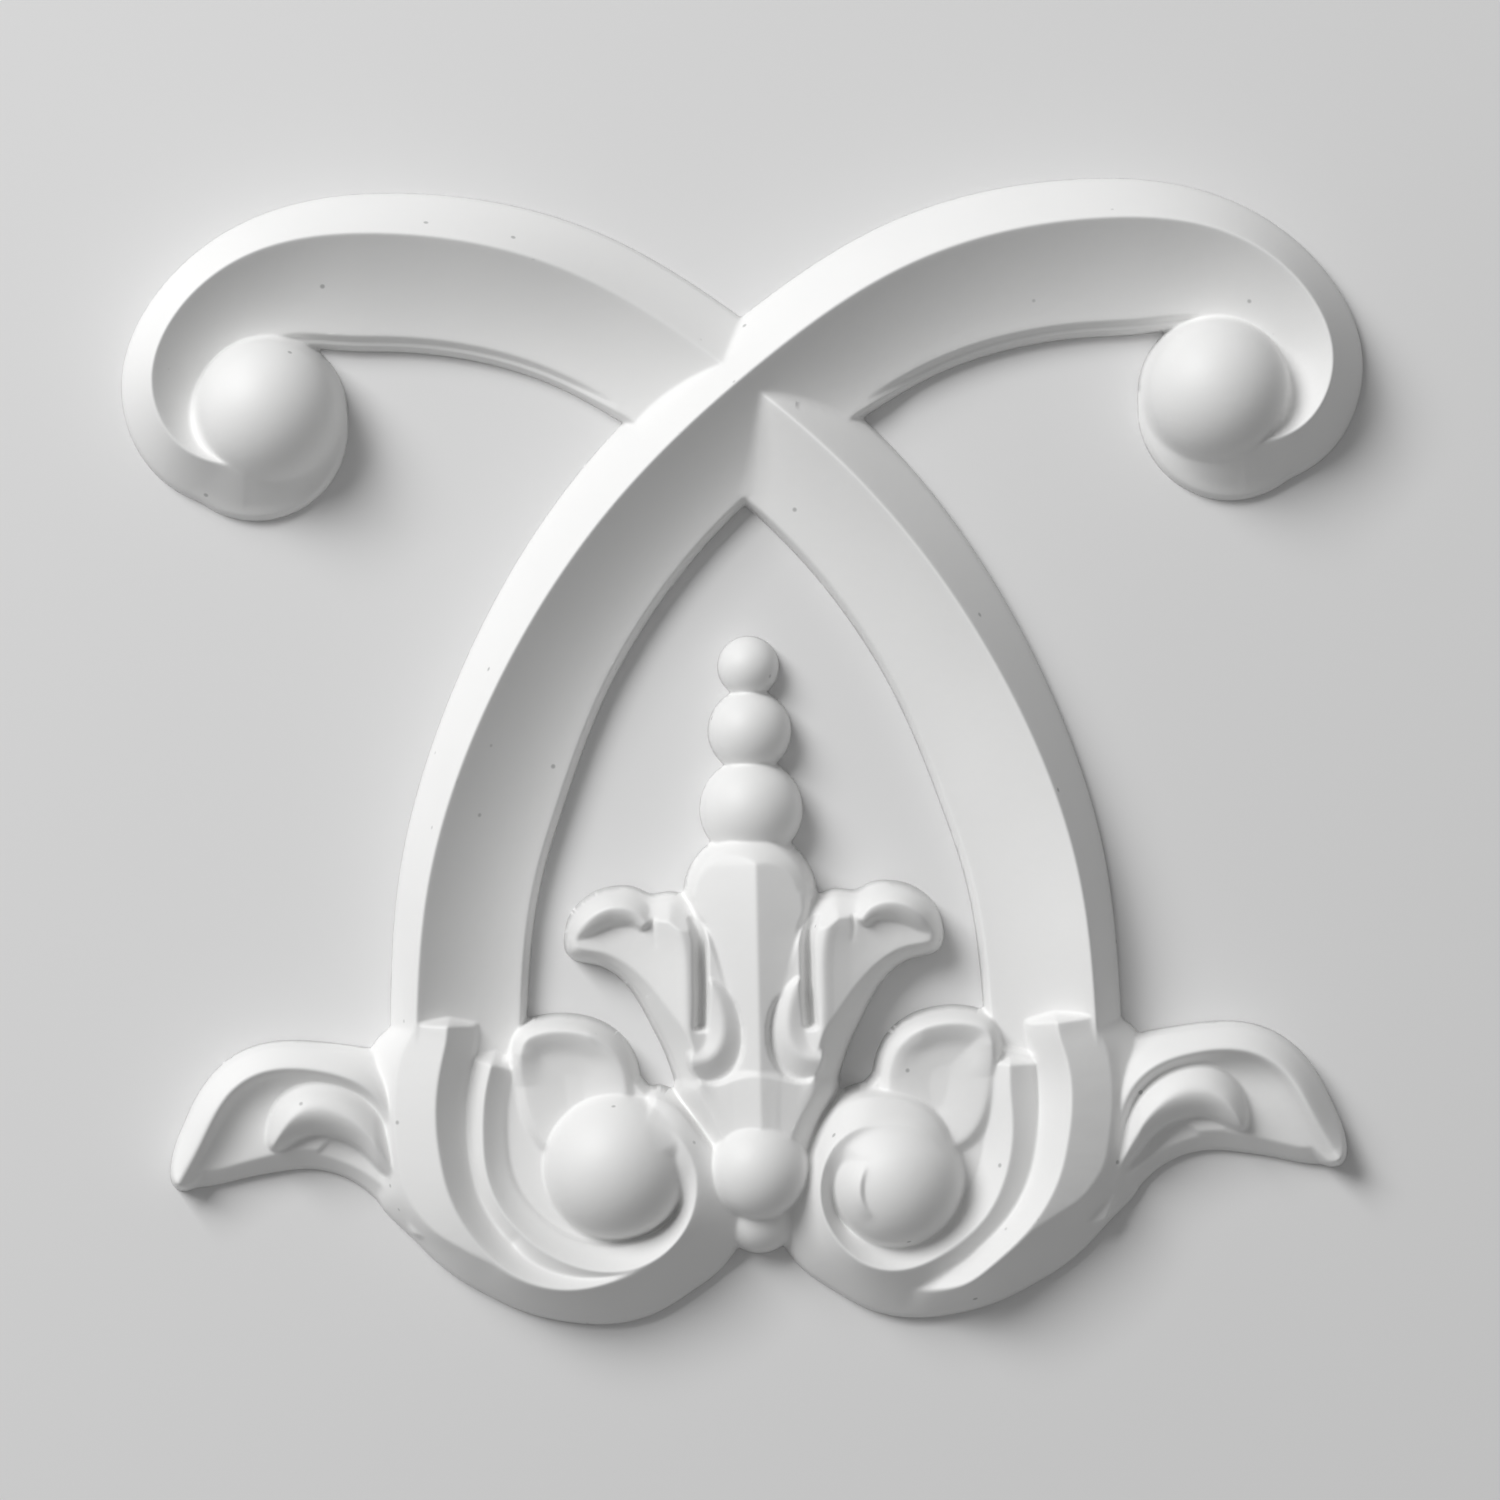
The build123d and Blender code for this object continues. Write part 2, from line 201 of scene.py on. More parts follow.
strap_ridge_line = [
    (-41.4, -46.0),
    (-40.9, -33.0),
    (-39.3, -16.5),
    (-31.3, 6.5),
    (-16.1, 29.5),
    (2.5, 46.7),
    (20.0, 57.8),
    (43.0, 63.0),
    (60.4, 60.1),
    (68.7, 52.6),
    (70.9, 45.3),
    (67.6, 38.0),
    (59.6, 35.1),
]
strap_bevel_width = [
    (0, 3.0),
    (0.1, 3.3),
    (0.2, 4.0),
    (0.45, 5.8),
    (0.6, 5.8),
    (0.75, 5.1),
    (0.87, 3.9),
    (1, 5.0),
]
strap_cove_width = [
    (0, 10.6),
    (0.08, 12.6),
    (0.2, 12.6),
    (0.32, 11.3),
    (0.44, 10.8),
    (0.6, 12.6),
    (0.75, 13.4),
    (0.83, 11.0),
    (0.91, 7.5),
    (1, 4.0),
]
strap_over_height = [(0, 6.0), (0.06, 7.8), (0.12, 8.8), (0.5, 10.0), (0.8, 9.4), (0.92, 8.8), (1, 7.2)]
strap_under_height = [
    (0, 6.0),
    (0.06, 7.8),
    (0.12, 8.8),
    (0.4, 9.3),
    (0.48, 8.2),
    (0.53, 5.8),
    (0.58, 6.2),
    (0.68, 8.6),
    (0.8, 9.4),
    (0.92, 8.8),
    (1, 7.2),
]
strap_lip_height = [(0, 1.5), (1, 1.5)]
strap_edge_height = [(0, 3.0), (0.9, 3.0), (1, 4.5)]
strap_hollow = 1.05
ledge_width, ledge_riser = 1.1, 0.3
ledge_drop = [(0.56, 0), (0.6, 1.0), (0.8, 1.0), (0.84, 0)]
for hand, strap_height in ((-1, strap_under_height), (1, strap_over_height)):
    ridge_line = curve_through([(hand * x, y) for x, y in strap_ridge_line])
    patch, height, along, side = ridged_band(
        ridge_line,
        hand,
        strap_bevel_width,
        strap_cove_width,
        strap_height,
        strap_lip_height,
        strap_edge_height,
        hollow=strap_hollow,
    )
    past_cove = -side - eased(strap_cove_width, along) + ledge_width
    ledge = eased(ledge_drop, along) * np.clip(past_cove / ledge_riser, 0, 1)
    lay(patch, height - ledge)

# The scroll at the end of each strap: a plaster ball that the ridge winds round, on a low disc
# that flares out from under it. It is cast in one with the strap, so below its widest place the
# ball goes straight down.
scroll_ball_place, scroll_ball_radius, scroll_ball_top = (57.4, 42.2), 8.7, 12.5
scroll_disc_place, scroll_disc_radius = (59.1, 40.2), 10.9
scroll_disc_flare = [(0, 1.5), (1.5, 2.7), (3.0, 4.4), (5.0, 6.8)]
disc_fillet, ball_fillet_open, ball_fillet_strap = 1.0, 1.8, 0.4
strap_side_from, strap_side_run, strap_side_lean = 44.0, 8.0, 0.3


def from_place(place, reach):
    """The grid around a place, and each point's distance from it."""
    patch = around([place], reach)
    return patch, np.hypot(grid_x[patch] - place[0], grid_y[patch] - place[1])


def ball(place, radius, top):
    """Upper half of a ball, a quarter circle from its top down to its widest place, with steep sides
    under it."""
    patch, distance = from_place(place, radius + 3)
    share = np.clip(distance / radius, 0, 1)
    dome = top - radius * (1 - np.sqrt(1 - share**2))
    return patch, dome - wall_slope * np.maximum(distance - radius, 0)


for hand in (-1, 1):
    disc_place = (hand * scroll_disc_place[0], scroll_disc_place[1])
    patch, distance = from_place(disc_place, scroll_disc_radius + 3)
    flare = eased(scroll_disc_flare, scroll_disc_radius - distance)
    lay(patch, flare - wall_slope * np.maximum(distance - scroll_disc_radius, 0), disc_fillet)
    ball_place = (hand * scroll_ball_place[0], scroll_ball_place[1])
    patch, dome = ball(ball_place, scroll_ball_radius, scroll_ball_top)
    outward = hand * grid_x[patch] - grid_y[patch] * strap_side_lean
    toward_strap = np.clip((outward - strap_side_from) / strap_side_run, 0, 1)
    lay(patch, dome, ball_fillet_open - (ball_fillet_open - ball_fillet_strap) * toward_strap)

# The volutes at the foot of the straps. An outer band of plaster goes on down from each strap and
# tapers out under the volute. Inside it, across a deep groove, a second band becomes the rim that
# winds up and over a ball, like a snail. The two differ a little, as hand-made patterns do.
volutes = {
    -1: {
        "outer_band": [
            (36.9, -32.3),
            (37.0, -33.6),
            (37.6, -36.4),
            (38.3, -40.0),
            (38.5, -44.6),
            (38.0, -49.0),
            (37.2, -52.4),
            (35.8, -55.6),
            (33.6, -58.8),
            (31.0, -61.3),
            (28.0, -63.1),
            (24.2, -64.1),
            (20.8, -64.0),
            (17.6, -63.2),
            (14.6, -62.0),
            (12.0, -60.4),
        ],
        "band_height": [(0, 9.3), (0.3, 9.4), (0.6, 9.0), (0.8, 8.6), (0.9, 8.4), (1, 8.3)],
        "rim": [
            (31.9, -37.2),
            (32.7, -40.5),
            (33.1, -45.0),
            (32.8, -50.0),
            (31.4, -54.0),
            (29.2, -57.0),
            (25.8, -59.8),
            (21.0, -61.9),
            (16.4, -62.2),
            (12.2, -60.6),
            (9.2, -57.4),
            (7.7, -53.4),
            (7.7, -49.8),
            (8.8, -47.2),
            (10.7, -45.3),
            (13.2, -44.2),
        ],
        "rim_outline": [(0.36, 0), (0.46, 1), (0.8, 1), (1, 1)],
        "rim_outer": [
            (0, 2.0),
            (0.3, 2.2),
            (0.5, 3.6),
            (0.62, 6.0),
            (0.72, 5.6),
            (0.8, 3.4),
            (0.88, 1.9),
            (1, 1.5),
        ],
        "rim_inner": [(0, 2.6), (0.4, 2.8), (0.6, 2.8), (0.76, 1.2), (0.84, 2.2), (0.9, 4.0), (1, 4.0)],
        "rim_height": [(0, 7.0), (0.3, 7.4), (0.55, 8.4), (0.75, 9.0), (0.9, 9.2), (0.96, 8.6), (1, 7.4)],
        "ball": ((17.1, -50.0), 8.75, 12.5),
        "ball_blend": [
            (-180, 0.3),
            (-70, 0.3),
            (-45, 1.8),
            (30, 1.8),
            (55, 0.3),
            (100, 0.3),
            (125, 2.4),
            (155, 2.4),
            (170, 0.3),
        ],
        "curl": None,
    },
    1: {
        "outer_band": [
            (36.0, -33.3),
            (36.2, -34.8),
            (36.9, -37.2),
            (37.5, -40.4),
            (37.5, -44.0),
            (36.9, -48.1),
            (35.9, -51.9),
            (34.3, -55.2),
            (32.2, -58.1),
            (29.7, -60.6),
            (27.1, -62.8),
            (24.6, -64.5),
            (22.2, -65.2),
            (19.4, -65.4),
            (16.4, -64.9),
        ],
        "band_height": [(0, 9.3), (0.3, 9.4), (0.65, 8.8), (0.8, 8.0), (0.92, 5.6), (1, 4.0)],
        "rim": [
            (30.4, -38.4),
            (30.4, -41.2),
            (30.6, -45.0),
            (30.3, -49.0),
            (29.2, -53.0),
            (27.2, -56.6),
            (24.6, -59.2),
            (20.8, -61.6),
            (16.6, -62.8),
            (12.6, -62.0),
            (9.4, -59.2),
            (7.6, -55.2),
            (7.5, -51.0),
            (9.0, -47.6),
            (11.8, -45.7),
            (15.2, -45.2),
            (18.4, -45.6),
            (20.8, -46.9),
            (22.4, -49.0),
        ],
        "rim_outline": [(0.38, 0), (0.48, 1), (0.66, 1), (0.76, 0)],
        "rim_outer": [
            (0, 3.2),
            (0.3, 3.4),
            (0.42, 4.2),
            (0.52, 6.2),
            (0.62, 5.4),
            (0.7, 2.6),
            (0.76, 2.2),
            (0.84, 3.4),
            (0.92, 2.7),
            (1, 0.8),
        ],
        "rim_inner": [
            (0, 3.0),
            (0.4, 3.0),
            (0.55, 2.4),
            (0.64, 1.2),
            (0.72, 1.8),
            (0.78, 3.6),
            (0.9, 3.0),
            (1, 1.0),
        ],
        "rim_height": [
            (0, 6.8),
            (0.3, 7.2),
            (0.5, 8.2),
            (0.65, 9.0),
            (0.8, 9.7),
            (0.9, 9.4),
            (0.96, 8.6),
            (1, 7.4),
        ],
        "ball": ((16.5, -52.2), 8.2, 12.4),
        "ball_blend": [(-180, 0.3), (5, 0.3), (30, 1.4), (75, 2.4), (140, 2.4), (158, 0.3)],
        "curl": [(12.9, -49.6), (12.2, -51.6), (12.2, -54.0), (13.4, -56.4)],
    },
}
curl_height, curl_outer, curl_inner = 0.9, 2.6, 0.5
outer_band_width = [(0, 6.6), (0.15, 9.0), (1, 9.0)]
outer_band_inner = [(0, 3.2), (0.3, 3.4), (0.6, 3.0), (0.8, 2.4), (1, 1.6)]
outer_band_lip = [(0, 1.6), (1, 1.6)]
outer_band_edge = [(0, 4.8), (0.5, 4.8), (0.75, 5.6), (0.9, 5.6), (1, 4.0)]
outer_band_shoulder_width = [
    (0, 4.2),
    (0.12, 5.2),
    (0.34, 5.2),
    (0.44, 4.0),
    (0.53, 1.6),
    (0.6, 0.5),
    (1, 0.3),
]
outer_band_shoulder_slope = 0.42
outer_band_outline = [(0, 0), (0.04, 0), (0.16, 1), (1, 1)]
band_hollow, band_fillet = 0.2, 0.4
rim_lip = [(0, 4.8), (0.34, 4.8), (0.46, 1.6), (0.7, 1.6), (0.78, 5.0), (0.86, 7.2), (1, 6.4)]
rim_edge_drop, rim_level_drop = 2.4, 0.3
rim_level_from = 0.79
rim_end_slope = 2.5
volute_outline = [
    (46.4, -48.0),
    (46.0, -53.6),
    (42.9, -57.2),
    (39.7, -60.5),
    (36.6, -63.1),
    (33.4, -65.0),
    (30.3, -66.6),
    (27.1, -67.8),
    (23.5, -68.6),
    (19.5, -69.0),
    (16.0, -68.7),
    (13.0, -67.8),
    (10.5, -66.5),
    (8.3, -65.1),
    (5.4, -63.0),
    (3.4, -60.4),
    (2.2, -56.0),
    (3.2, -51.0),
    (6.4, -47.0),
    (8.1, -44.7),
    (9.6, -43.0),
    (11.6, -41.7),
    (14.0, -41.1),
    (18.0, -40.4),
    (26.0, -36.0),
    (34.0, -31.0),
    (42.0, -29.0),
    (46.0, -33.0),
]
volute_ground_height = 4.4
ground_outline = [
    (35.4, -38.6),
    (36.4, -46.0),
    (34.0, -54.6),
    (28.0, -61.0),
    (18.0, -63.6),
    (10.0, -60.6),
    (7.6, -53.0),
    (9.0, -46.0),
    (13.6, -41.0),
    (18.0, -37.0),
    (26.0, -36.0),
    (32.0, -37.2),
]
leaf_outline = [
    (30.1, -39.4),
    (30.0, -35.4),
    (29.0, -33.2),
    (26.8, -32.0),
    (23.6, -31.6),
    (20.2, -32.1),
    (17.4, -33.4),
    (15.2, -35.8),
    (14.1, -39.2),
    (14.4, -44.0),
    (19.0, -50.0),
    (26.0, -49.0),
]
leaf_inset, leaf_fillet = 0.8, 0.2
leaf_rim_right_from, leaf_rim_right_run = 15.0, 5.0
leaf_rim_low, leaf_rim_low_run = -40.0, 4.0
leaf_rim = [(0, 5.2), (0.9, 6.7), (1.9, 6.3), (3.6, 5.3), (6.5, 4.8)]
leaf_without_rim = [(0, 4.4), (1.2, 5.4), (3.0, 5.2), (6.0, 4.7)]


def inside(points, reach=3.0):
    """Distance in from a smooth closed outline through the points, and less than nothing outside."""
    outline = curve_through(points, closed=True)
    patch = around(outline, reach)
    _, side, _ = beside(outline, patch)
    x, y = grid_x[patch], grid_y[patch]
    crossings = np.zeros(x.shape, int)
    for start, end in zip(outline[:-1], outline[1:]):
        spans = (start[1] <= y) != (end[1] <= y)
        rise = end[1] - start[1] if end[1] != start[1] else 1.0
        crossings += spans & (x < start[0] + (y - start[1]) / rise * (end[0] - start[0]))
    return patch, np.where(crossings % 2 == 1, np.abs(side), -np.abs(side))


def walled(height, depth):
    """A form's height inside its outline, and a steep wall down from the edge outside it."""
    return height + wall_slope * np.minimum(depth, 0)


for hand, volute in volutes.items():
    patch, depth = inside([(hand * x, y) for x, y in volute_outline], reach=8)
    outline_depth = np.full(relief.shape, -far_away)
    outline_depth[patch] = depth
    patch, depth = inside([(hand * x, y) for x, y in ground_outline])
    lay(patch, walled(volute_ground_height, depth))

    patch, depth = inside([(hand * x, y) for x, y in leaf_outline])
    depth = depth - leaf_inset
    rimmed = np.clip((hand * grid_x[patch] - leaf_rim_right_from) / leaf_rim_right_run, 0, 1)
    rimmed = rimmed * np.clip((grid_y[patch] - leaf_rim_low) / leaf_rim_low_run, 0, 1)
    dish = rimmed * eased(leaf_rim, depth) + (1 - rimmed) * eased(leaf_without_rim, depth)
    lay(patch, walled(dish, depth), leaf_fillet)

    rim = curve_through([(hand * x, y) for x, y in volute["rim"]])
    rim_edge = [
        (place, height - (rim_edge_drop if place < rim_level_from else rim_level_drop))
        for place, height in volute["rim_height"]
    ]
    patch, height, along, side = ridged_band(
        rim,
        hand,
        volute["rim_outer"],
        volute["rim_inner"],
        volute["rim_height"],
        rim_lip,
        rim_edge,
        hollow=band_hollow,
        end_slope=rim_end_slope,
        outline=(outline_depth, volute["rim_outline"]),
    )
    lay(patch, height, band_fillet)

    band = curve_through([(hand * x, y) for x, y in volute["outer_band"]])
    patch, height, along, side = ridged_band(
        band,
        hand,
        outer_band_width,
        outer_band_inner,
        volute["band_height"],
        outer_band_lip,
        outer_band_edge,
        shoulder=(outer_band_shoulder_width, outer_band_shoulder_slope),
        hollow=band_hollow,
        outline=(outline_depth, outer_band_outline),
    )
    lay(patch, height, band_fillet)

    (ball_x, ball_y), radius, top = volute["ball"]
    patch, dome = ball((hand * ball_x, ball_y), radius, top)
    if volute["curl"]:
        curl = curve_through([(hand * x, y) for x, y in volute["curl"]])
        along, side, past = beside(curl, patch, -hand)
        crest = curl_height * np.clip(1 - np.maximum(side, 0) / curl_outer, 0, 1)
        crest = crest * np.clip(1 + np.minimum(side, 0) / curl_inner, 0, 1)
        dome = dome + crest * np.sin(np.pi * np.clip(along, 0, 1)) * (past <= 0)
    bearing = np.degrees(np.arctan2(grid_y[patch] - ball_y, hand * grid_x[patch] - ball_x))
    lay(patch, dome, eased(volute["ball_blend"], bearing))

# The leaf sprigs that stand out beside the volutes: each is a scooped plaster leaf with a bright
# rolled upper edge that curls down to a tip, and a shorter blunt lobe over its root.
sprig_outline = [
    (44.6, -36.4),
    (48.4, -35.4),
    (52.4, -34.9),
    (56.6, -34.6),
    (60.6, -35.1),
    (64.3, -37.0),
    (67.4, -40.6),
    (69.5, -44.8),
    (70.7, -48.4),
    (70.4, -50.7),
    (67.0, -51.4),
    (63.0, -50.6),
    (58.5, -49.8),
    (54.4, -49.5),
    (50.8, -50.3),
    (48.0, -51.9),
    (45.8, -54.0),
    (43.2, -56.6),
    (40.0, -58.0),
    (38.0, -54.0),
    (40.0, -44.0),
]
sprig_crest_line = [
    (43.2, -46.8),
    (43.9, -44.2),
    (45.3, -41.4),
    (48.2, -38.9),
    (52.0, -37.6),
    (56.0, -37.1),
    (60.0, -37.7),
    (63.3, -39.8),
    (65.7, -43.2),
    (67.5, -46.6),
    (69.4, -49.8),
]
sprig_section = [
    (-14, 4.2),
    (-6.0, 3.9),
    (-3.0, 4.2),
    (-1.2, 5.4),
    (0, 7.2),
    (1.2, 6.0),
    (2.6, 3.6),
    (4.4, 1.8),
]
sprig_section_share = [(0, 0.8), (0.3, 1.0), (0.75, 0.96), (1, 0.7)]
sprig_root_cap, sprig_root_fall, sprig_root_floor = 7.5, 2.0, 4.0
sprig_foot_slope, sprig_foot_height, sprig_foot_reach, sprig_upper_allowance = 1.15, 1.2, 2.0, 6.0
sprig_fillet, lobe_fillet = 0.4, 0.3
lobe_outline = [
    (41.2, -54.6),
    (42.4, -51.2),
    (43.5, -48.0),
    (44.8, -44.8),
    (46.6, -42.0),
    (49.2, -39.9),
    (52.4, -39.0),
    (55.4, -39.5),
    (57.7, -41.4),
    (58.8, -44.0),
    (58.6, -46.8),
    (56.2, -46.0),
    (53.2, -45.1),
    (50.2, -45.7),
    (47.8, -47.1),
    (45.7, -49.4),
    (44.0, -51.8),
    (42.6, -54.6),
]
lobe_crown, lobe_edge, lobe_roundness = 7.9, 5.2, 3.2
lobe_root_drop, lobe_root_from, lobe_root_run = 2.2, 46.0, 5.0
for hand in (-1, 1):
    patch, depth = inside([(hand * x, y) for x, y in sprig_outline])
    crest = curve_through([(hand * x, y) for x, y in sprig_crest_line])
    along, side, past = beside(crest, patch, hand)
    scoop = eased(sprig_section, side) * eased(sprig_section_share, along)
    root_cap = np.maximum(sprig_root_cap - sprig_root_fall * past, sprig_root_floor)
    scoop = np.where(along < 0.5, np.minimum(scoop, root_cap), scoop)
    lower_half = np.clip(-side / sprig_foot_reach, 0, 1)
    foot = sprig_foot_height + sprig_foot_slope * np.maximum(depth, 0)
    scoop = np.minimum(scoop, foot + sprig_upper_allowance * (1 - lower_half))
    lay(patch, walled(scoop, depth), sprig_fillet)
    patch, depth = inside([(hand * x, y) for x, y in lobe_outline])
    swell = 1 - (1 - np.clip(depth / lobe_roundness, 0, 1)) ** 2
    root_drop = lobe_root_drop * np.clip((lobe_root_from - hand * grid_x[patch]) / lobe_root_run, 0, 1)
    lobe = lobe_edge + (lobe_crown - lobe_edge) * swell - root_drop
    lay(patch, walled(lobe, depth), lobe_fillet)

# The tulip in the foot of the arch: plaster, a tall middle petal with a sharp keel, between two
# side petals that lean out and roll over at the tip. A slot parts them, and under it the edge curls
# round into a small eyelet. All three run down into one smooth stem.
blade_outline = [
    (0.0, -44.0),
    (0.0, -49.0),
    (4.6, -49.6),
    (6.4, -46.4),
    (8.1, -43.0),
    (9.2, -39.6),
    (10.4, -36.0),
    (12.2, -32.2),
    (14.2, -28.6),
    (16.4, -26.2),
    (19.2, -24.8),
    (22.0, -23.8),
    (22.0, -21.6),
    (20.4, -19.0),
    (17.4, -17.2),
    (14.4, -17.2),
    (12.6, -18.0),
    (11.6, -18.0),
    (9.8, -17.8),
    (8.0, -18.6),
    (5.0, -20.0),
    (2.0, -26.0),
    (0.0, -34.0),
]
blade_crest_line = [
    (1.6, -47.4),
    (5.4, -42.0),
    (7.6, -37.6),
    (8.1, -33.0),
    (8.1, -28.0),
    (8.4, -23.0),
    (9.6, -19.0),
]
blade_section = [(-3.0, 8.0), (-0.8, 8.6), (0, 8.9), (1.5, 8.2), (4.0, 7.1), (7.0, 6.3), (13.0, 5.6)]
blade_edge, blade_edge_slope = 4.4, 1.6
blade_root_drop = [(0, 1.8), (0.2, 1.6), (0.42, 0)]
blade_fillet = 0.3
lip_line = [(12.6, -20.6), (13.8, -19.2), (16.4, -18.4), (19.0, -19.2), (20.8, -20.9), (22.0, -22.8)]
lip_outer = [(0, 1.0), (0.5, 1.1), (0.85, 0.9), (1, 0.4)]
lip_inner = [(0, 1.2), (0.4, 2.2), (0.8, 1.6), (1, 0.5)]
lip_crest_height = [(0, 8.2), (0.4, 8.6), (0.75, 7.6), (1, 5.0)]
lip_outer_height = [(0, 6.2), (0.7, 5.6), (1, 3.8)]
lip_inner_height = [(0, 7.6), (0.4, 7.0), (0.8, 6.2), (1, 4.4)]
lip_swell, lip_fillet = 0.35, 0.4
notch_line = [(11.6, -17.6), (11.9, -19.6), (12.1, -21.6), (11.8, -23.2)]
notch_half_width, notch_floor, notch_slope = 0.1, 7.2, 2.6
petal_reach, petal_foot, petal_window_top = 10, -49, -8
petal_half_width = [(-49, 3.0), (-40, 3.4), (-36, 4.6), (-30, 5.6), (-22, 5.7), (-19.5, 6.7), (-16.5, 7.0)]
petal_widest = -16.5
petal_top_middle, petal_top_radius, petal_shift = -17.8, 7.0, -0.4
petal_upper_from, petal_upper_run = -21.0, 4.0
petal_edge, petal_bevel, petal_lower_bevel, petal_fillet = 6.0, 1.15, 3.0, 0.3
petal_keel = [(-49.0, 8.6), (-40.0, 9.0), (-24.0, 9.6), (-14.0, 9.2), (-10.4, 7.8)]
petal_slope, keel_shift = 0.42, 0.4
stem_outline = [
    (4.9, -49.6),
    (6.6, -46.4),
    (8.3, -43.0),
    (9.2, -40.2),
    (8.2, -38.6),
    (5.0, -37.6),
    (1.4, -36.4),
]
stem_slope, stem_fillet = 0.2, 1.0
slot_line = [(7.5, -19.9), (6.7, -21.6), (6.4, -25.0), (6.4, -29.0), (6.6, -33.2)]
slot_half_width, slot_floor, slot_slope = 0.4, 5.8, 6.0
eyelet_outline = [
    (5.5, -27.4),
    (3.9, -28.5),
    (2.4, -30.3),
    (1.6, -32.6),
    (1.5, -35.2),
    (2.2, -37.8),
    (3.6, -39.5),
    (5.4, -40.0),
    (7.2, -39.2),
    (8.2, -37.0),
    (7.4, -34.4),
    (6.6, -31.0),
]
eyelet_crest_line = [
    (5.7, -27.4),
    (4.7, -29.2),
    (4.1, -31.2),
    (3.9, -33.2),
    (4.3, -35.2),
    (5.6, -36.8),
    (7.6, -37.2),
]
eyelet_section = [(-2.4, 8.0), (-1.2, 8.5), (0, 8.9), (1.2, 8.3), (2.6, 7.4)]


def carve(points, half_width, floor, slope):
    """Cuts a groove along a line down to its floor, with sides of the given slope."""
    line = curve_through(points)
    patch = around(line, half_width + 3)
    _, side, past = beside(line, patch)
    clear = np.hypot(np.maximum(np.abs(side) - half_width, 0), past)
    relief[patch] = np.minimum(relief[patch], floor + slope * clear)


for hand in (-1, 1):
    patch, depth = inside([(hand * x, y) for x, y in blade_outline])
    crest = curve_through([(hand * x, y) for x, y in blade_crest_line])
    along, side, past = beside(crest, patch, -hand)
    blade = eased(blade_section, side) - eased(blade_root_drop, along)
    blade = np.minimum(blade, blade_edge + blade_edge_slope * np.maximum(depth, 0))
    lay(patch, walled(blade, depth), blade_fillet)
    carve([(hand * x, y) for x, y in notch_line], notch_half_width, notch_floor, notch_slope)
    lip = curve_through([(hand * x, y) for x, y in lip_line])
    patch, height, along, side = ridged_band(
        lip,
        hand,
        lip_outer,
        lip_inner,
        lip_crest_height,
        lip_outer_height,
        lip_inner_height,
        hollow=-lip_swell,
    )
    lay(patch, height, lip_fillet)

patch = window(-petal_reach, petal_reach, petal_foot - 1, petal_window_top)
x, y = grid_x[patch], grid_y[patch]
upper = np.clip((y - petal_upper_from) / petal_upper_run, 0, 1)
from_middle = np.abs(x - petal_shift * upper)
half_width = eased(petal_half_width, np.clip(y, petal_foot, petal_widest))
round_top = petal_top_radius - np.hypot(from_middle, np.maximum(y - petal_top_middle, 0))
margin = np.where(y > petal_top_middle, round_top, half_width - from_middle)
roof = eased(petal_keel, y) - petal_slope * np.abs(x - keel_shift)
bevel = petal_edge + (upper * petal_bevel + (1 - upper) * petal_lower_bevel) * np.maximum(margin, 0)
lay(patch, walled(np.minimum(roof, bevel), margin), petal_fillet)

patch, depth = inside(stem_outline + [(-x, y) for x, y in reversed(stem_outline)])
stem = eased(petal_keel, grid_y[patch]) - stem_slope * np.abs(grid_x[patch] - keel_shift)
stem = np.minimum(stem, blade_edge + blade_edge_slope * np.maximum(depth, 0))
lay(patch, walled(stem, depth), stem_fillet)

for hand in (-1, 1):
    patch, depth = inside([(hand * x, y) for x, y in eyelet_outline])
    crest = curve_through([(hand * x, y) for x, y in eyelet_crest_line])
    along, side, past = beside(crest, patch, -hand)
    curl = eased(eyelet_section, side)
    curl = np.where(side > 0, curl, np.maximum(curl, relief[patch]))
    relief[patch] = np.where(depth > 0, curl, relief[patch])
    carve([(hand * x, y) for x, y in slot_line], slot_half_width, slot_floor, slot_slope)

# The beads up the middle of the arch, the ball between the volutes and the small knob under it:
# plaster, cast in one with the tulip, and touching one another.
bead_places = [((0.0, 10.1), 3.5, 4.8), ((0.0, 2.3), 4.8, 6.3), ((0.0, -7.2), 5.9, 7.8)]
bead_places += [((0.0, -56.2), 4.6, 6.0), ((0.0, -50.5), 5.9, 11.5)]
bead_fillet = 0.25
for place, radius, top in bead_places:
    patch, dome = ball(place, radius, top)
    lay(patch, dome, bead_fillet)

# The casting itself: all these forms as one skin of plaster with a flat back. The mould and the
# plaster soften every edge a little, so the relief is blurred before it is made a mesh.
edge_softness = 0.2
triangle_limit = 190000


def softened(height, radius):
    """Gaussian blur of the height along both axes, with a reach of three radii."""
    reach = max(int(3 * radius / grid_step), 1)
    offsets = np.arange(-reach, reach + 1) * grid_step
    weights = np.exp(-(offsets**2) / (2 * radius**2))
    weights /= weights.sum()
    shifts = range(-reach, reach + 1)
    for axis in (0, 1):
        height = sum(weight * np.roll(height, shift, axis=axis) for weight, shift in zip(weights, shifts))
    return height


relief = softened(relief, edge_softness)
slope_y, slope_x = np.gradient(relief, grid_step)

# Every cell of the grid with some plaster over it becomes a face. A corner that hangs below the
# board is drawn up the slope to where the plaster meets the board, so that the edge runs true.
inside_cell = relief > 0
cell_used = inside_cell[:-1, :-1] | inside_cell[1:, :-1] | inside_cell[:-1, 1:] | inside_cell[1:, 1:]
steepness = np.maximum(np.hypot(slope_x, slope_y), 1.0)
step_back = np.where(inside_cell, 0.0, -relief / steepness**2)
longest_step = 1.2 * grid_step
step_back = np.minimum(step_back, longest_step / steepness)
skin_x = grid_x + step_back * slope_x
skin_y = grid_y + step_back * slope_y
skin_z = np.maximum(relief, 0)

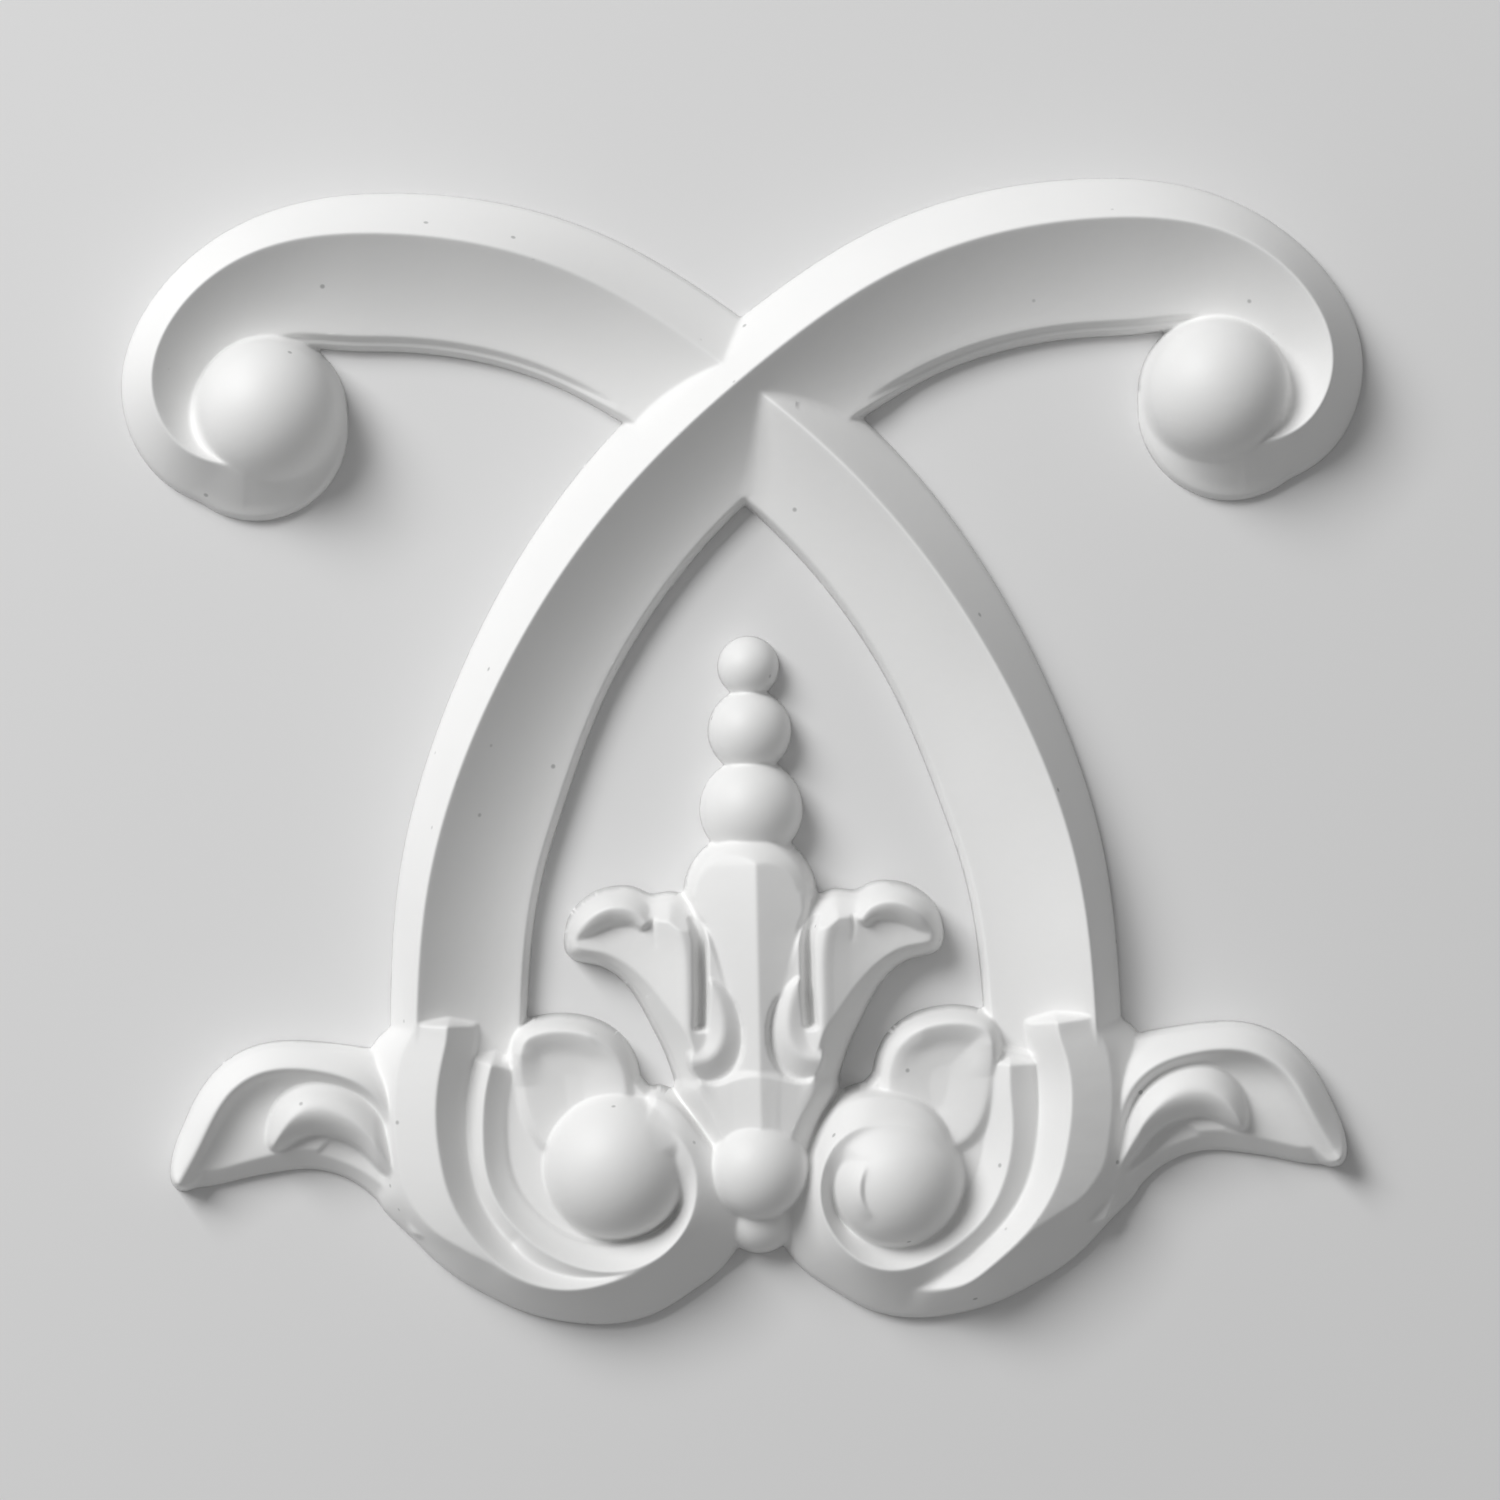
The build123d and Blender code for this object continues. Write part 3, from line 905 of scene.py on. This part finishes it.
rows, columns = np.nonzero(cell_used)
width = grid_x.shape[1]
corner = rows * width + columns
quads = np.stack((corner, corner + 1, corner + 1 + width, corner + width), axis=1)
used, quads = np.unique(quads, return_inverse=True)
quads = quads.reshape(-1, 4)
skin = np.stack((skin_x.ravel()[used], skin_y.ravel()[used], skin_z.ravel()[used]), axis=1)
count = len(skin)

# The flat back: the same faces at no height, turned over and joined to the skin along its rim.
edges = np.sort(np.concatenate([quads[:, [a, (a + 1) % 4]] for a in range(4)]), axis=1)
edge_keys, edge_uses = np.unique(edges[:, 0] * count + edges[:, 1], return_counts=True)
open_edges = edge_keys[edge_uses == 1]
rim_points = np.unique(np.concatenate((open_edges // count, open_edges % count)))
on_rim = np.zeros(count, bool)
on_rim[rim_points] = True
skin[on_rim, 2] = 0.0
back_index = np.arange(count)
back_index[~on_rim] = count + np.arange((~on_rim).sum())
back = skin[~on_rim] * (1, 1, 0)
back_quads = back_index[quads][:, ::-1]
millimetres_in_metre = 1000
points = np.concatenate((skin, back)) / millimetres_in_metre
faces = np.concatenate((quads, back_quads))

casting_mesh = bpy.data.meshes.new("crown_casting_skin")
casting_mesh.from_pydata(points.tolist(), [], faces.tolist())
casting = bpy.data.objects.new("crown_casting_skin", casting_mesh)
bpy.context.collection.objects.link(casting)
thin = casting.modifiers.new("thin", "DECIMATE")
thin.ratio = min(1.0, triangle_limit / (2 * len(faces)))
thinned = bpy.data.meshes.new_from_object(casting.evaluated_get(bpy.context.evaluated_depsgraph_get()))
casting.modifiers.clear()
casting.data = thinned
casting.data.shade_smooth()

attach(casting, "root")
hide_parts("crown_casting")

# The finish: dry cast plaster, off-white and matt, with a fine grain, a faint random tone and a few
# pin-holes. The pin-holes are painted shade: darker dots in the colour, with no hole in the surface.
plaster = bpy.data.materials.new("plaster")
plaster.use_nodes = True
nodes, links = plaster.node_tree.nodes, plaster.node_tree.links
shader = nodes["Principled BSDF"]
plaster_colour = (0.82, 0.82, 0.815)
shader.inputs["Base Color"].default_value = (*plaster_colour, 1)
shader.inputs["Roughness"].default_value = 0.55
place = nodes.new("ShaderNodeTexCoord").outputs["Object"]

tone = nodes.new("ShaderNodeTexNoise")
tone.inputs["Scale"].default_value = 30.0
tone.inputs["Detail"].default_value = 3.0
links.new(place, tone.inputs["Vector"])
tone_range = nodes.new("ShaderNodeMapRange")
tone_range.inputs["From Min"].default_value = 0.3
tone_range.inputs["From Max"].default_value = 0.7
tone_range.inputs["To Min"].default_value = 0.97
tone_range.inputs["To Max"].default_value = 1.02
links.new(tone.outputs["Fac"], tone_range.inputs["Value"])

# Painted shade of pin-holes: small dots where the colour falls to 0.6 of itself, standing in for the shade
# inside pits that the mesh does not have.
painted_pit_shade = nodes.new("ShaderNodeTexVoronoi")
painted_pit_shade.inputs["Scale"].default_value = 160.0
links.new(place, painted_pit_shade.inputs["Vector"])
pit_shade_range = nodes.new("ShaderNodeMapRange")
pit_shade_range.inputs["From Min"].default_value = 0.03
pit_shade_range.inputs["From Max"].default_value = 0.06
pit_shade_range.inputs["To Min"].default_value = 0.6
pit_shade_range.inputs["To Max"].default_value = 1.0
links.new(painted_pit_shade.outputs["Distance"], pit_shade_range.inputs["Value"])

# The colour is the random tone times the painted pit shade.
tone_and_pit_shade = nodes.new("ShaderNodeMath")
tone_and_pit_shade.operation = "MULTIPLY"
links.new(tone_range.outputs["Result"], tone_and_pit_shade.inputs[0])
links.new(pit_shade_range.outputs["Result"], tone_and_pit_shade.inputs[1])
colour = nodes.new("ShaderNodeVectorMath")
colour.operation = "SCALE"
colour.inputs[0].default_value = plaster_colour
links.new(tone_and_pit_shade.outputs["Value"], colour.inputs["Scale"])
links.new(colour.outputs["Vector"], shader.inputs["Base Color"])

grain = nodes.new("ShaderNodeTexNoise")
grain.inputs["Scale"].default_value = 700.0
grain.inputs["Detail"].default_value = 4.0
links.new(place, grain.inputs["Vector"])
roughened = nodes.new("ShaderNodeBump")
roughened.inputs["Strength"].default_value = 0.35
roughened.inputs["Distance"].default_value = 0.00006
links.new(grain.outputs["Fac"], roughened.inputs["Height"])
links.new(roughened.outputs["Normal"], shader.inputs["Normal"])
casting.data.materials.clear()
casting.data.materials.append(plaster)

# The board that the casting lies on: smooth and pale. It isn't part of the casting.
board_size = 4.0
board_mesh = bpy.data.meshes.new("board")
corners = [(-1, -1, 0), (1, -1, 0), (1, 1, 0), (-1, 1, 0)]
board_corners = [(x * board_size / 2, y * board_size / 2, z) for x, y, z in corners]
board_mesh.from_pydata(board_corners, [], [(0, 1, 2, 3)])
board = bpy.data.objects.new("board", board_mesh)
bpy.context.collection.objects.link(board)
board_finish = bpy.data.materials.new("board_finish")
board_finish.use_nodes = True
board_shader = board_finish.node_tree.nodes["Principled BSDF"]
board_shader.inputs["Base Color"].default_value = (0.76, 0.76, 0.76, 1)
board_shader.inputs["Roughness"].default_value = 0.7
board_mesh.materials.append(board_finish)

# The light: one large soft lamp from the upper left, and a pale room all round.
lamp_direction = np.array([-0.54, 0.54, 0.64])
lamp_distance = 1.6
lamp_strength = 0.9
lamp_place = lamp_direction / np.linalg.norm(lamp_direction) * lamp_distance
lamp_data = bpy.data.lights.new("window_light", "AREA")
lamp_data.shape = "SQUARE"
lamp_data.size = 0.8
lamp_data.energy = lamp_strength * np.pi * np.pi * lamp_distance**2
lamp = bpy.data.objects.new("window_light", lamp_data)
lamp.location = lamp_place
lamp.rotation_euler = (-lamp.location).to_track_quat("-Z", "Y").to_euler()
bpy.context.collection.objects.link(lamp)

room_strength = 0.24
room = bpy.data.worlds.new("room")
room.use_nodes = True
room.node_tree.nodes["Background"].inputs["Color"].default_value = (1, 1, 1, 1)
room.node_tree.nodes["Background"].inputs["Strength"].default_value = room_strength
bpy.context.scene.world = room
bpy.context.scene.view_settings.view_transform = "Standard"

# The camera: straight above the casting, turned a little, because the casting lies a little askew
# in the photograph.
view_width = 0.182
lens, film_width = 150.0, 36.0
camera_turn = np.radians(-1.2)
camera_data = bpy.data.cameras.new("camera")
camera_data.lens = lens
camera_data.sensor_width = film_width
camera = bpy.data.objects.new("camera", camera_data)
camera.location = (0, 0, view_width * lens / film_width)
camera.rotation_euler = (0, 0, camera_turn)
bpy.context.collection.objects.link(camera)
bpy.context.scene.camera = camera
